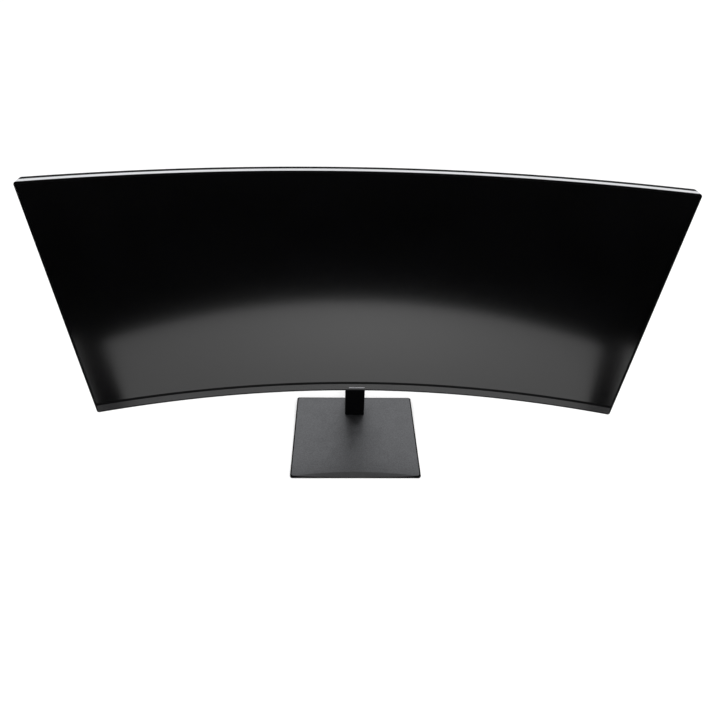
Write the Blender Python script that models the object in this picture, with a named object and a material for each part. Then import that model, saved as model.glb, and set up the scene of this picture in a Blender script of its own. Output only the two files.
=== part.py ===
"""Curved ultrawide computer monitor on a stand that lifts and tilts.

Run with: blender --background --python part.py

Sizes are in millimetres and are scaled to metres as each object is made. X is the viewer's right, the screen
faces -Y, and +Z is up. The origin is on the desk, under the middle of the base.

The display is drawn flat first, as (s, d, h): s along the screen, d behind its front surface, h above its
bottom edge. bend() then wraps it round the vertical axis of the screen's curve.
"""

import math

import bmesh
import bpy
from mathutils import Matrix, Vector

MM = 0.001
FIT = 0.3  # gap between pieces that touch

# Display
CURVE_R = 1500.0  # radius of the screen's front surface
CHORD_HALF = 404.0
HALF_S = CURVE_R * math.asin(CHORD_HALF / CURVE_R)
PANEL_H = 365.0
PANEL_Z = 132.0  # bottom edge of the display above the desk
SCREEN_Y = -22.0  # middle of the screen's front surface
CORNER_R = 3.5
CHIN_H = 14.3
CHIN_LEDGE_H = 2.0  # thickness of the chin's ledge, which covers the display's underside
GROOVE = 3.4  # dark gap between the chin and the glass
LIP_W, LIP_D = 2.2, 1.5  # width and depth of the black front lip
FRAME_D = 8.9  # where the silver frame ends and the rear cover begins
RIM_D = 15.2  # back edge of the rear cover's rim
RIM_EASE = 0.4  # chamfer on that edge
SIDE_TAPER = 3.5  # how far the sides lean in between the front lip and RIM_D
TAPER_S = 350.0  # the lean fades out towards the middle, up to this distance from it
POD_D = 40.0  # depth of the raised housing on the rear cover
WALL = 2.2
FACETS = 24  # facets along the curve

# Stand
BASE_X, BASE_Y = 111.0, 99.2  # half sizes of the base plate
BASE_LOW, BASE_TOP = 1.2, 6.0
FACET_R, FACET_REACH, FACET_SLOPE = 658.0, 10.5, 0.09  # crescent facet along the base's front edge
COLUMN_X = 18.0  # half width
COLUMN_FRONT, COLUMN_BACK, COLUMN_TOP = 50.0, 95.0, 372.0
COLUMN_SEAM = 142.0  # where the column's sleeve, with the cable hole, meets its upper part
SPIGOT_H = 12.0  # the sleeve's spigot inside the upper part
COLUMN_WALL = 2.2
HINGE_D = 55.0
HINGE_Y = SCREEN_Y + HINGE_D
HINGE_H = 178.0
HINGE_Z = PANEL_Z + HINGE_H
LIFT_DOWN, LIFT_UP = 70.0, 40.0
SLOT_HALF = 12.0  # half width of the slot that the arm travels in
SLOT_CLEAR = 14.0  # slot beyond the arm's centre at each end of its travel
CABLE_LOW, CABLE_HIGH = 90.0, 135.0
DRUM_Y, DRUM_Z, COIL_R = 72.0, 232.0, 10.0
SCREW_Y = 74.0  # captive screw, under the column

# Where groups sit along the screen
PORTS_S, PORTS_H = 127.0, 95.0  # middle and ceiling of the port bay
BAY_HALF = 57.0
BAY_D = 22.0
KNOB_S, KNOB_H = 330.0, 36.0
KNOB_PIVOT_D = 13.0
VESA_HALF = 37.5  # half the spacing of the bracket's four screw holes
COVER_SCREWS = ((-300.0, 22.0), (270.0, 22.0), (-300.0, 343.0), (300.0, 343.0))
FOOT_PLACES = [(x, y) for y in (-85.0, 85.0) for x in (-98.0, 98.0)]
FOOT_R = 8.0

LOOKS = {
    "screen_glass": ((0.008, 0.008, 0.009), 0.25, 0.0),
    "black_trim": ((0.010, 0.010, 0.011), 0.35, 0.0),
    "silver_frame": ((0.62, 0.63, 0.65), 0.32, 0.7),
    "dark_plastic": ((0.035, 0.035, 0.038), 0.50, 0.0),
    "cover_plastic": ((0.020, 0.020, 0.022), 0.60, 0.0),
    "powder_coat": ((0.055, 0.055, 0.060), 0.42, 0.2),
    "column_black": ((0.008, 0.008, 0.009), 0.38, 0.0),
    "steel": ((0.55, 0.56, 0.58), 0.35, 1.0),
    "spring_steel": ((0.35, 0.36, 0.38), 0.28, 1.0),
    "acetal": ((0.80, 0.79, 0.75), 0.45, 0.0),
    "acrylic": ((0.85, 0.87, 0.88), 0.10, 0.0),
    "white_film": ((0.90, 0.90, 0.89), 0.55, 0.0),
    "circuit_board": ((0.02, 0.12, 0.06), 0.50, 0.0),
    "rubber": ((0.025, 0.025, 0.025), 0.85, 0.0),
    "badge_grey": ((0.45, 0.45, 0.47), 0.35, 0.3),
}


# ---------------------------------------------------------------- shapes


def rounded(x0, x1, z0, z1, radius, steps=3):
    """Anticlockwise points of a rectangle with round corners."""
    corners = ((x1, z0, -90), (x1, z1, 0), (x0, z1, 90), (x0, z0, 180))
    points = []
    for x, z, start in corners:
        cx = x - math.copysign(radius, x - (x0 + x1) / 2)
        cz = z - math.copysign(radius, z - (z0 + z1) / 2)
        for k in range(steps + 1):
            a = math.radians(start + 90 * k / steps)
            points.append((cx + radius * math.cos(a), cz + radius * math.sin(a)))
    return points


def circle(cx, cz, radius, sides=16):
    turn = 2 * math.pi / sides
    return [(cx + radius * math.cos(k * turn), cz + radius * math.sin(k * turn)) for k in range(sides)]


def along(axis, point, at):
    """The 2-D point (a, b) at height `at` of an axis: x takes (y, z), y takes (x, z) and z takes (x, y)."""
    a, b = point
    return {"x": (at, a, b), "y": (a, at, b), "z": (a, b, at)}[axis]


def loft(loops):
    """Closed solid through loops of equally many points."""
    bm = bmesh.new()
    rings = [[bm.verts.new(p) for p in loop] for loop in loops]
    bm.faces.new(rings[0])
    bm.faces.new(rings[-1])
    for low, high in zip(rings, rings[1:]):
        for k in range(len(low)):
            n = (k + 1) % len(low)
            bm.faces.new((low[k], low[n], high[n], high[k]))
    bmesh.ops.recalc_face_normals(bm, faces=bm.faces)
    return bm


def prism(points, axis, low, high):
    return loft([[along(axis, p, low) for p in points], [along(axis, p, high) for p in points]])


def box(x0, x1, y0, y1, z0, z1):
    return prism(((x0, z0), (x1, z0), (x1, z1), (x0, z1)), "y", y0, y1)


def rod(axis, a, b, radius, low, high, sides=16):
    return prism(circle(a, b, radius, sides), axis, low, high)


def hollow(outer, inner, axis, low, high):
    """Prism of the outer loop with the inner loop, of equally many points, left open."""
    bm = bmesh.new()
    ends = [(loop, at) for at in (low, high) for loop in (outer, inner)]
    out_low, in_low, out_high, in_high = [[bm.verts.new(along(axis, p, at)) for p in loop] for loop, at in ends]
    for k in range(len(outer)):
        n = (k + 1) % len(outer)
        for a, b in ((out_low, in_low), (out_low, out_high), (in_low, in_high), (out_high, in_high)):
            bm.faces.new((a[k], a[n], b[n], b[k]))
    bmesh.ops.recalc_face_normals(bm, faces=bm.faces)
    return bm


def scratch_object(bm):
    mesh = bpy.data.meshes.new("scratch")
    bm.to_mesh(mesh)
    bm.free()
    obj = bpy.data.objects.new("scratch", mesh)
    bpy.context.scene.collection.objects.link(obj)
    return obj


def combine(bm, operation, *others):
    """bm after a Boolean with each of the others in turn."""
    target = scratch_object(bm)
    cutters = [scratch_object(other) for other in others]
    for cutter in cutters:
        modifier = target.modifiers.new("combine", "BOOLEAN")
        modifier.operation = operation
        modifier.object = cutter
    graph = bpy.context.evaluated_depsgraph_get()
    evaluated = target.evaluated_get(graph)
    result = bmesh.new()
    result.from_mesh(evaluated.to_mesh())
    evaluated.to_mesh_clear()
    for obj in [target, *cutters]:
        mesh = obj.data
        bpy.data.objects.remove(obj)
        bpy.data.meshes.remove(mesh)
    return result


def cut(bm, *others):
    return combine(bm, "DIFFERENCE", *others)


def weld(bm, *others):
    return combine(bm, "UNION", *others)


def lean(s, d):
    """s moved inwards by the lean of the display's sides."""
    depth = min(max((d - LIP_D) / (RIM_D - LIP_D), 0), 1)
    reach = max((abs(s) - TAPER_S) / (HALF_S - TAPER_S), 0)
    return s - math.copysign(SIDE_TAPER * depth * reach, s)


def bend(bm):
    """Splits a flat-drawn piece into facets along s, leans its sides and wraps it round the curve."""
    step = 2 * HALF_S / FACETS
    for k in range(1, FACETS):
        bmesh.ops.bisect_plane(
            bm,
            geom=[*bm.verts, *bm.edges, *bm.faces],
            dist=1e-4,
            plane_co=(-HALF_S + k * step, 0, 0),
            plane_no=(1, 0, 0),
        )
    bmesh.ops.triangulate(bm, faces=bm.faces)
    for v in bm.verts:
        s, d, h = v.co
        v.co = place_on_curve(lean(s, d), d, h)
    return bm


def place_on_curve(s, d, h):
    a, r = s / CURVE_R, CURVE_R + d
    return Vector((r * math.sin(a), SCREEN_Y - CURVE_R + r * math.cos(a), PANEL_Z + h))


def curve_frame(s, d=0.0, h=0.0):
    """Frame of a flat piece fixed to the display at (s, d, h): +X runs along the screen, +Y away from it."""
    return Matrix.Translation(place_on_curve(s, d, h)) @ Matrix.Rotation(-s / CURVE_R, 4, "Z")


# ---------------------------------------------------------------- objects


def look(name):
    found = bpy.data.materials.get(name)
    if found:
        return found
    colour, roughness, metallic = LOOKS[name]
    made = bpy.data.materials.new(name)
    made.use_nodes = True
    shader = made.node_tree.nodes["Principled BSDF"]
    shader.inputs["Base Color"].default_value = (*colour, 1)
    shader.inputs["Roughness"].default_value = roughness
    shader.inputs["Metallic"].default_value = metallic
    return made


class Joint:
    """An empty on a moving body's joint, at a place in millimetres."""

    def __init__(self, name, place, parent=None):
        self.place = place
        self.empty = bpy.data.objects.new(name, None)
        bpy.context.scene.collection.objects.link(self.empty)
        if parent:
            self.empty.parent = parent.empty
            place = parent.place.inverted() @ place
        set_place(self.empty, place)


def set_place(obj, place):
    place = place.copy()
    place.translation = place.translation * MM
    obj.matrix_basis = place


def put(name, bm, finish, joint, frame=None):
    """Makes the object. A piece drawn in the row's frame takes its joint's place as its origin; one drawn
    in a frame of its own takes that frame."""
    if frame is None:
        frame = joint.place
        bmesh.ops.transform(bm, matrix=frame.inverted(), verts=bm.verts)
    bmesh.ops.scale(bm, vec=(MM, MM, MM), verts=bm.verts)
    mesh = bpy.data.meshes.new(name)
    bm.to_mesh(mesh)
    bm.free()
    mesh.materials.append(look(finish))
    mesh.shade_smooth()
    mesh.set_sharp_from_angle(angle=math.radians(30))
    obj = bpy.data.objects.new(name, mesh)
    bpy.context.scene.collection.objects.link(obj)
    obj.parent = joint.empty
    set_place(obj, joint.place.inverted() @ frame)
    return obj


# ---------------------------------------------------------------- display


def sheet(half, low, high, front, back):
    return bend(box(-half, half, front, back, low, high))


def make_front(tilt):
    inner_s, inner_h = HALF_S - LIP_W, PANEL_H - LIP_W
    outline = rounded(-HALF_S, HALF_S, 0, PANEL_H, CORNER_R)
    trim = prism(outline, "y", 0, LIP_D)
    below = box(-500, 500, -10, 10, -10, CHIN_H + FIT)
    window = box(-inner_s, inner_s, -10, 10, CHIN_H + GROOVE - FIT, inner_h)
    recess = box(-inner_s, inner_s, -10, 0.5, 0, CHIN_H + GROOVE)
    put("bezel_trim", bend(cut(trim, below, window, recess)), "black_trim", tilt)

    glass_half = inner_s - FIT
    glass = sheet(glass_half, CHIN_H + GROOVE, inner_h - FIT, 0.3, LIP_D)
    put("lcd_cell", glass, "screen_glass", tilt)

    corners = [p for p in outline if p[1] < CHIN_H]
    left = [p for p in corners if p[0] < 0]
    right = [p for p in corners if p[0] > 0]
    face = [*left, *right, (HALF_S, CHIN_H), (-HALF_S, CHIN_H)]
    chin = prism(face, "y", 0, LIP_D)
    ledge = cut(prism(face, "y", 1.0, FRAME_D - FIT), box(-500, 500, 0.5, 50, CHIN_LEDGE_H, 50))
    badge_half, badge_low, badge_high = 13.0, 5.0, 7.4
    badge_pocket = box(-badge_half, badge_half, -1, 0.6, badge_low, badge_high)
    led_s, led_d = 350.0, 5.0
    led_hole = box(led_s - 2.5, led_s + 2.5, led_d - 1.5, led_d + 1.5, -1, 4)
    put("chin_strip", bend(cut(weld(chin, ledge), badge_pocket, led_hole)), "dark_plastic", tilt)

    pill = rounded(-badge_half + FIT, badge_half - FIT, badge_low + FIT, badge_high - FIT, 0.85)
    put("chin_badge", prism(pill, "y", -0.05, 0.3), "badge_grey", tilt, curve_frame(0))
    lens = box(-2.1, 2.1, led_d - 1.1, led_d + 1.1, 0.1, 1.8)
    put("power_led_lens", lens, "acrylic", tilt, curve_frame(led_s))


def make_mid_frame(tilt):
    """Silver frame that closes the display's edge, with an inner shelf that the glass rests on."""
    low, start, wall = CHIN_LEDGE_H + FIT, LIP_D + FIT, 2.2
    wall_ring = hollow(
        rounded(-HALF_S, HALF_S, low, PANEL_H, CORNER_R),
        rounded(-HALF_S + wall, HALF_S - wall, low + wall, PANEL_H - wall, 1.5),
        "y",
        start,
        FRAME_D,
    )
    shelf_ring = hollow(
        rounded(-HALF_S + 1, HALF_S - 1, low + 1, PANEL_H - 1, 2.5),
        rounded(-HALF_S + 8, HALF_S - 8, 20, PANEL_H - 8, 2.5),
        "y",
        start,
        start + 1.2,
    )
    put("mid_frame", bend(weld(wall_ring, shelf_ring)), "silver_frame", tilt)


def make_backlight(tilt):
    half = HALF_S - 3.0
    put("optical_films", sheet(half, 8, PANEL_H - 3, 3.6, 4.2), "white_film", tilt)
    put("light_guide", sheet(half, 9, PANEL_H - 3.5, 4.5, 7.0), "acrylic", tilt)
    put("led_bar", sheet(half - 6, 5.2, 8.4, 4.5, 6.6), "circuit_board", tilt)
    put("reflector_sheet", sheet(half, 5, PANEL_H - 3.5, 7.3, 7.6), "white_film", tilt)
    put("back_chassis", sheet(half, 5, PANEL_H - 3, 7.9, 8.7), "steel", tilt)


def level(half, low, high, radius, d):
    return [(s, d, h) for s, h in rounded(-half, half, low, high, radius)]


def cover_body(inset):
    """Solid that the rear cover's outer skin, or with an inset its inner skin, encloses."""
    h, s, i = PANEL_H, HALF_S, inset
    inner = inset > 0
    start = FRAME_D - 0.1 if inner else FRAME_D + FIT
    return loft(
        [
            level(s - i, i, h - i, CORNER_R - i * 0.5, start),
            level(s - i, i, h - i, CORNER_R - i * 0.5, RIM_D - RIM_EASE - i),
            level(s - RIM_EASE - i, RIM_EASE + i, h - RIM_EASE - i, CORNER_R, RIM_D - i),
            level(235 - i, 34 + i, 292 - i, 22, RIM_D + 2.5 - i),
            level(206 - i, 56 + i, 270 - i, 17, POD_D - 2.0 - i),
            level(203 - i, 59 + i, 267 - i, 15, POD_D - i),
        ]
    )


def vent_cutters():
    """Slots through the housing's top slope, and through its bottom slope away from the port bay."""
    pitch, half, count = 12.0, 1.5, 26
    first = -pitch * (count - 1) / 2
    low_first, low_count = -174.0, 10
    places = [(first + pitch * k, 273, 287) for k in range(count)]
    places += [(low_first + pitch * k, 39, 53) for k in range(low_count)]
    return [box(s - half, s + half, 5, 60, low, high) for s, low, high in places]


def make_rear_cover(tilt):
    shell = cut(cover_body(0), cover_body(WALL))

    bay_low, bay_high = PORTS_S - BAY_HALF, PORTS_S + BAY_HALF
    lining = combine(
        box(bay_low - 2, bay_high + 2, BAY_D - 2, 60, 30, PORTS_H + 2), "INTERSECT", cover_body(0)
    )
    shell = weld(shell, lining)
    bay = box(bay_low, bay_high, BAY_D, 60, 20, PORTS_H)
    port_window = box(bay_low + 3, bay_high - 3, BAY_D + 2, 36, PORTS_H - 5, PORTS_H + 5)
    stand_window = prism(rounded(-54, 54, 120, 236, 4), "y", 30, 60)
    shell = cut(shell, bay, port_window, stand_window, *vent_cutters())

    boss = loft(
        [
            [(s, d, h) for s, h in circle(KNOB_S, KNOB_H, r, 24)]
            for r, d in ((19.0, 14.0), (16.5, 20.2), (15.7, 21.0))
        ]
    )
    shell = weld(shell, boss)
    well = rod("y", KNOB_S, KNOB_H, 13.0, 9, 19, 24)
    knob_hole = rod("y", KNOB_S, KNOB_H, 8.2, 15, 30, 24)
    holes = []
    for s, h in COVER_SCREWS:
        holes += [rod("y", s, h, 2.0, 9, 20, 12), rod("y", s, h, 3.6, RIM_D - 1.2, 20, 12)]
    put("rear_cover", bend(cut(shell, well, knob_hole, *holes)), "cover_plastic", tilt)

    for k, (s, h) in enumerate(COVER_SCREWS):
        screw = weld(rod("y", 0, 0, 1.5, 9.2, 14.6, 12), rod("y", 0, 0, 3.0, 14.2, 15.6, 12))
        drive = [box(-1.6, 1.6, 15.0, 20, -0.35, 0.35), box(-0.35, 0.35, 15.0, 20, -1.6, 1.6)]
        put(f"cover_screw_{k + 1}", cut(screw, *drive), "steel", tilt, curve_frame(s, 0, h))


def make_stand_mount(tilt):
    """Steel bracket behind the rear cover's window, and the stand's plate that hooks on to it."""
    half, gauge, back, front = 62.0, 1.8, 35.5, 9.3
    profile = [(-half, front), (-half, back), (half, back), (half, front)]
    profile += [(half - gauge, front), (half - gauge, back - gauge)]
    profile += [(-half + gauge, back - gauge), (-half + gauge, front)]
    bracket = prism(profile, "z", 112, 244)
    holes = [
        rod("y", side * VESA_HALF, HINGE_H + rise * VESA_HALF, 2.1, 30, 40, 12)
        for side in (-1, 1)
        for rise in (-1, 1)
    ]
    flat = curve_frame(0)
    put("vesa_bracket", cut(bracket, *holes), "steel", tilt, flat)

    plate_front, plate_back = back + FIT, 38.8
    plate = prism(rounded(-52, 52, 122, 234, 3), "y", plate_front, plate_back)
    hooks = [box(s - 7, s + 7, plate_front, 37.0, 230, 240) for s in (-27, 27)]
    latch_slot = box(-12.9, 12.9, 30, 50, 110, 150)
    put("release_plate", cut(weld(plate, *hooks), latch_slot), "powder_coat", tilt, flat)

    ear_in, ear_out, ear_r = 13.5, 16.5, 9.0
    foot_d = plate_back + FIT
    base = box(-22, 22, foot_d, foot_d + 2.5, HINGE_H - 20, HINGE_H + 20)
    side = [(foot_d + 1, HINGE_H - 14), *half_round(HINGE_D, HINGE_H, ear_r), (foot_d + 1, HINGE_H + 14)]
    ears = [prism(side, "x", a, b) for a, b in ((-ear_out, -ear_in), (ear_in, ear_out))]
    bore = rod("x", HINGE_D, HINGE_H, 4.4, -30, 30)
    put("tilt_knuckle", cut(weld(base, *ears), bore), "steel", tilt, flat)

    shroud = hollow(
        rounded(-26, 26, HINGE_H - 25, HINGE_H + 25, 4),
        rounded(-24, 24, HINGE_H - 23, HINGE_H + 23, 2.5),
        "y",
        foot_d,
        HINGE_D + 8,
    )
    put("hinge_shroud", shroud, "cover_plastic", tilt, flat)
    return plate_front, plate_back


def half_round(y, z, radius, steps=8):
    """Points of the half circle on the +Y side, from below to above."""
    turns = (math.radians(-90 + 180 * k / steps) for k in range(steps + 1))
    return [(y + radius * math.cos(a), z + radius * math.sin(a)) for a in turns]


def make_latch(tilt, latch, plate_front, plate_back):
    flat = curve_frame(0)
    slide = box(-12.5, 12.5, plate_front, plate_back, 118, 140)
    tongue = box(-10, 10, plate_front, 37.2, 115, 125)
    trimmed = cut(slide, box(-20, 20, 37.2, 45, 110, 122.3))
    put("release_latch", weld(trimmed, tongue), "steel", latch, flat)
    pad = loft(
        [
            [(x, plate_back + FIT, z) for x, z in rounded(-10.5, 10.5, 124, 138, 3)],
            [(x, 44.0, z) for x, z in rounded(-10, 10, 124.5, 137.5, 3)],
            [(x, 45.5, z) for x, z in rounded(-8.5, 8.5, 126, 136, 2.5)],
        ]
    )
    put("release_button", pad, "dark_plastic", latch, flat)
    middle = (plate_front + plate_back) / 2
    spring = hollow(circle(0, middle, 1.3, 12), circle(0, middle, 0.8, 12), "z", 140.3, 149.7)
    put("latch_spring", spring, "spring_steel", tilt, flat)


def make_ports(tilt):
    """Main board with its sockets, which face down into the port bay through a steel plate."""
    frame = curve_frame(PORTS_S)
    face = 24.4  # the board's rear surface, on which the sockets sit
    board = box(-54, 54, face - FIT - 1.6, face - FIT, PORTS_H + 4.0, 200)
    put("main_board", board, "circuit_board", tilt, frame)

    low, high, plate_low, plate_high = PORTS_H + 2.5, PORTS_H + 16.0, PORTS_H + 2.3, PORTS_H + 3.1
    sockets = (
        # name, place along the bay, width, height, wall, finish
        ("dc_jack", -43.0, 11.0, 9.4, 1.4, "dark_plastic"),
        ("hdmi_port_1", -24.0, 15.2, 5.7, 0.6, "steel"),
        ("hdmi_port_2", -4.0, 15.2, 5.7, 0.6, "steel"),
        ("displayport_1", 17.0, 17.2, 5.9, 0.6, "steel"),
        ("audio_jack", 35.0, 7.4, 6.6, 1.5, "dark_plastic"),
    )
    cutouts = []
    for name, x, width, height, wall, finish in sockets:
        x0, x1, y0, y1 = x - width / 2, x + width / 2, face, face + height
        cutouts.append(box(x0 - FIT, x1 + FIT, y0 - FIT, y1 + FIT, 80, 120))
        if name in ("dc_jack", "audio_jack"):
            bore = rod("z", x, (y0 + y1) / 2, min(width, height) / 2 - wall, low - 5, high - 2)
            socket = cut(box(x0, x1, y0, y1, low, high), bore)
        else:
            mouth = box(x0 + wall, x1 - wall, y0 + wall, y1 - wall, low - 5, high - 1)
            tongue = box(x0 + 2.6, x1 - 2.6, face + 2.2, face + 3.4, low + 0.8, high - 0.5)
            socket = weld(cut(box(x0, x1, y0, y1, low, high), mouth), tongue)
        put(name, socket, finish, tilt, frame)
    plate = box(-BAY_HALF + 1.5, BAY_HALF - 1.5, BAY_D + 0.6, 36.5, plate_low, plate_high)
    put("io_plate", cut(plate, *cutouts), "steel", tilt, frame)

    driver = box(-50, 50, face - FIT - 1.6, face - FIT, 105, 185)
    put("led_driver_board", driver, "circuit_board", tilt, curve_frame(-PORTS_S))


def make_knob(tilt, sideways, upright, press):
    """Five-way menu knob: a gimbal that turns left and right, a stem that turns up and down in it, and a
    cap that is pressed along the stem."""
    frame = curve_frame(KNOB_S, 0, KNOB_H)
    board = prism(rounded(-11, 11, -8, 8, 2), "y", 9.3, 10.3)
    put("joystick_board", board, "circuit_board", tilt, frame)
    ring = hollow(rounded(-6, 6, -6, 6, 1), rounded(-4.4, 4.4, -4.4, 4.4, 1), "y", 11.4, 14.6)
    put("joystick_gimbal", ring, "acetal", sideways, frame)
    stem = weld(rod("y", 0, 0, 3.4, 11.4, 14.6, 12), rod("y", 0, 0, 2.2, 14.0, 22.0, 12))
    put("joystick_stem", stem, "acetal", upright, frame)
    profile = ((5.6, 17.0), (6.2, 19.0), (6.2, 25.0), (5.2, 26.2))
    cap = loft([[(x, d, z) for x, z in circle(0, 0, r, 24)] for r, d in profile])
    put("joystick_cap", cut(cap, rod("y", 0, 0, 2.6, 10, 23.4, 12)), "rubber", press, frame)


# ---------------------------------------------------------------- lift


def make_arm(lift):
    half, rise = 10.0, 9.0
    nose = [(2 * HINGE_Y - y, z) for y, z in half_round(HINGE_Y, HINGE_Z, rise)]
    web_front = 64.0
    lug = prism([*nose, (61, HINGE_Z + rise), (61, HINGE_Z - rise)], "x", -half, half)
    heel = box(-14, 14, 58, web_front - FIT, HINGE_Z - 25, HINGE_Z + rise)
    bore = rod("x", HINGE_Y, HINGE_Z, 4.4, -30, 30)
    put("head_arm", cut(weld(lug, heel), bore), "column_black", lift)

    shank = rod("x", HINGE_Y, HINGE_Z, 4.0, -20, 20)
    heads = [rod("x", HINGE_Y, HINGE_Z, 7.0, a, b) for a, b in ((-21, -16.8), (16.8, 21))]
    put("hinge_pin", weld(shank, *heads), "steel", lift)
    for name, low in (("friction_washer_left", -13.2), ("friction_washer_right", 10.3)):
        rings = circle(HINGE_Y, HINGE_Z, 8.0), circle(HINGE_Y, HINGE_Z, 4.4)
        put(name, hollow(*rings, "x", low, low + 2.9), "spring_steel", lift)

    in_x, out_x, back = 6.9, 8.9, 88.0
    low, high = DRUM_Z - 12, HINGE_Z + 10
    profile = [(-out_x, web_front), (-out_x, back), (-in_x, back), (-in_x, web_front + 2.5)]
    profile += [(-x, y) for x, y in reversed(profile)]
    drum_gap = box(-in_x, in_x, 60, 70, low - 5, DRUM_Z + 12)
    axle_hole = rod("x", DRUM_Y, DRUM_Z, 2.4, -20, 20, 12)
    put("lift_carriage", cut(prism(profile, "z", low, high), drum_gap, axle_hole), "steel", lift)

    for name, z in (("glide_block_bottom", 262.0), ("glide_block_top", 300.0)):
        side, thick = 10.7, 1.5
        shoe = [(-side, 80.5), (-side, 90), (side, 90), (side, 80.5), (side - thick, 80.5)]
        shoe += [(side - thick, 88.3), (-side + thick, 88.3), (-side + thick, 80.5)]
        put(name, prism(shoe, "z", z, z + 16), "acetal", lift)
    put("drum_axle", rod("x", DRUM_Y, DRUM_Z, 2.0, -9.6, 9.6, 12), "steel", lift)


def make_drum(drum):
    rings = circle(DRUM_Y, DRUM_Z, 5.0), circle(DRUM_Y, DRUM_Z, 2.4)
    put("spring_drum", hollow(*rings, "x", -6.5, 6.5), "acetal", drum)
    rings = circle(DRUM_Y, DRUM_Z, COIL_R, 24), circle(DRUM_Y, DRUM_Z, 5.3, 24)
    put("spring_coil", hollow(*rings, "x", -6, 6), "spring_steel", drum)


# ---------------------------------------------------------------- column and base


def column_section(inset):
    x = COLUMN_X - inset
    return rounded(-x, x, COLUMN_FRONT + inset, COLUMN_BACK - inset, 3 - 0.6 * inset)


def column_tube(*profile):
    """Wall all round the column, from the (inset, z) points that its cut edge runs through."""
    bm = bmesh.new()
    loops = [[bm.verts.new((x, y, z)) for x, y in column_section(inset)] for inset, z in profile]
    for low, high in zip(loops, [*loops[1:], loops[0]]):
        for k in range(len(low)):
            n = (k + 1) % len(low)
            bm.faces.new((low[k], low[n], high[n], high[k]))
    bmesh.ops.recalc_face_normals(bm, faces=bm.faces)
    return bm


def make_column(root):
    wall, seam, spigot_top = COLUMN_WALL, COLUMN_SEAM, COLUMN_SEAM + SPIGOT_H
    tube = column_tube((0, seam + FIT), (0, COLUMN_TOP), (wall, COLUMN_TOP), (wall, seam + FIT))
    slot = box(
        -SLOT_HALF,
        SLOT_HALF,
        COLUMN_FRONT - 5,
        COLUMN_FRONT + 5,
        HINGE_Z - LIFT_DOWN - SLOT_CLEAR,
        HINGE_Z + LIFT_UP + SLOT_CLEAR,
    )
    put("column_shell", cut(tube, slot), "column_black", root)

    thick, collar_low = wall + 2, seam - 5
    outside = (0, BASE_TOP + FIT), (0, seam), (wall + FIT, seam), (wall + FIT, spigot_top)
    inside = (thick, spigot_top), (thick, collar_low), (wall, collar_low), (wall, BASE_TOP + FIT)
    sleeve = column_tube(*outside, *inside)
    cable_hole = prism(rounded(-11, 11, CABLE_LOW, CABLE_HIGH, 8), "y", 40, 110)
    put("column_sleeve", cut(sleeve, cable_hole), "column_black", root)

    lid = prism(column_section(0), "z", COLUMN_TOP + FIT, COLUMN_TOP + 4)
    plug_low, plug_high = COLUMN_TOP - 5, COLUMN_TOP + 2
    plug = column_tube((wall + FIT, plug_low), (wall + FIT, plug_high), (thick, plug_high), (thick, plug_low))
    put("column_cap", weld(lid, plug), "cover_plastic", root)

    foot = prism(column_section(COLUMN_WALL + FIT), "z", BASE_TOP + FIT, 26)
    put("column_foot", cut(foot, rod("z", 0, SCREW_Y, 3.2, 0, 23)), "steel", root)

    grommet = hollow(
        rounded(-10.6, 10.6, CABLE_LOW + 0.4, CABLE_HIGH - 0.4, 7.7),
        rounded(-9.2, 9.2, CABLE_LOW + 1.8, CABLE_HIGH - 1.8, 6.4),
        "y",
        COLUMN_FRONT - 0.5,
        COLUMN_BACK + 0.5,
    )
    put("cable_grommet", grommet, "cover_plastic", root)


def make_rail(root):
    x_out, x_in, front, back = 13.0, 11.0, 80.0, 92.3
    profile = [(-x_out, front), (-x_out, back), (x_out, back), (x_out, front)]
    profile += [(x_in, front), (x_in, back - 2), (-x_in, back - 2), (-x_in, front)]
    top = 361.0
    put("lift_rail", prism(profile, "z", 185, top), "steel", root)
    put("spring_anchor", box(-13, 13, 78, 92, top + FIT, top + 4.5), "steel", root)
    strip_y = DRUM_Y + COIL_R + FIT
    put("spring_strip", box(-5.5, 5.5, strip_y, strip_y + 0.4, DRUM_Z, top), "spring_steel", root)


def facet_cutter():
    """Takes a crescent off the plate's top front edge: a shallow cone centred far in front of the base."""
    centre_y = -BASE_Y + FACET_REACH - FACET_R
    before, after = 18, 6  # how far the cone runs past the facet's edge, either way
    near, far, high = FACET_R - before, FACET_R + after, BASE_TOP + after
    low_z, high_z = BASE_TOP - before * FACET_SLOPE, BASE_TOP + after * FACET_SLOPE
    profile = [(near, low_z), (far, high_z), (far, high), (near, high)]
    loops = []
    for k in range(-6, 7):
        a = math.radians(1.75 * k)
        loops.append([(r * math.sin(a), centre_y + r * math.cos(a), z) for r, z in profile])
    return loft(loops)


def make_base(root):
    edge, corner, x, y = 0.7, 4.0, BASE_X, BASE_Y
    levels = ((edge, BASE_LOW), (0, BASE_LOW + edge), (0, BASE_TOP - edge), (edge, BASE_TOP))
    plate = loft(
        [
            [(a, b, z) for a, b in rounded(-x + inset, x - inset, -y + inset, y - inset, corner, 4)]
            for inset, z in levels
        ]
    )
    pockets = [rod("z", fx, fy, FOOT_R + 0.4, 0, 2.5, 24) for fx, fy in FOOT_PLACES]
    recess = rod("z", 0, SCREW_Y, 19.0, 0, 4.4, 32)
    hole = rod("z", 0, SCREW_Y, 3.6, 0, 10)
    put("base_plate", cut(plate, facet_cutter(), recess, hole, *pockets), "powder_coat", root)
    for k, (fx, fy) in enumerate(FOOT_PLACES):
        put(f"foot_pad_{k + 1}", rod("z", fx, fy, FOOT_R, 0, 2.2, 24), "rubber", root)


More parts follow.
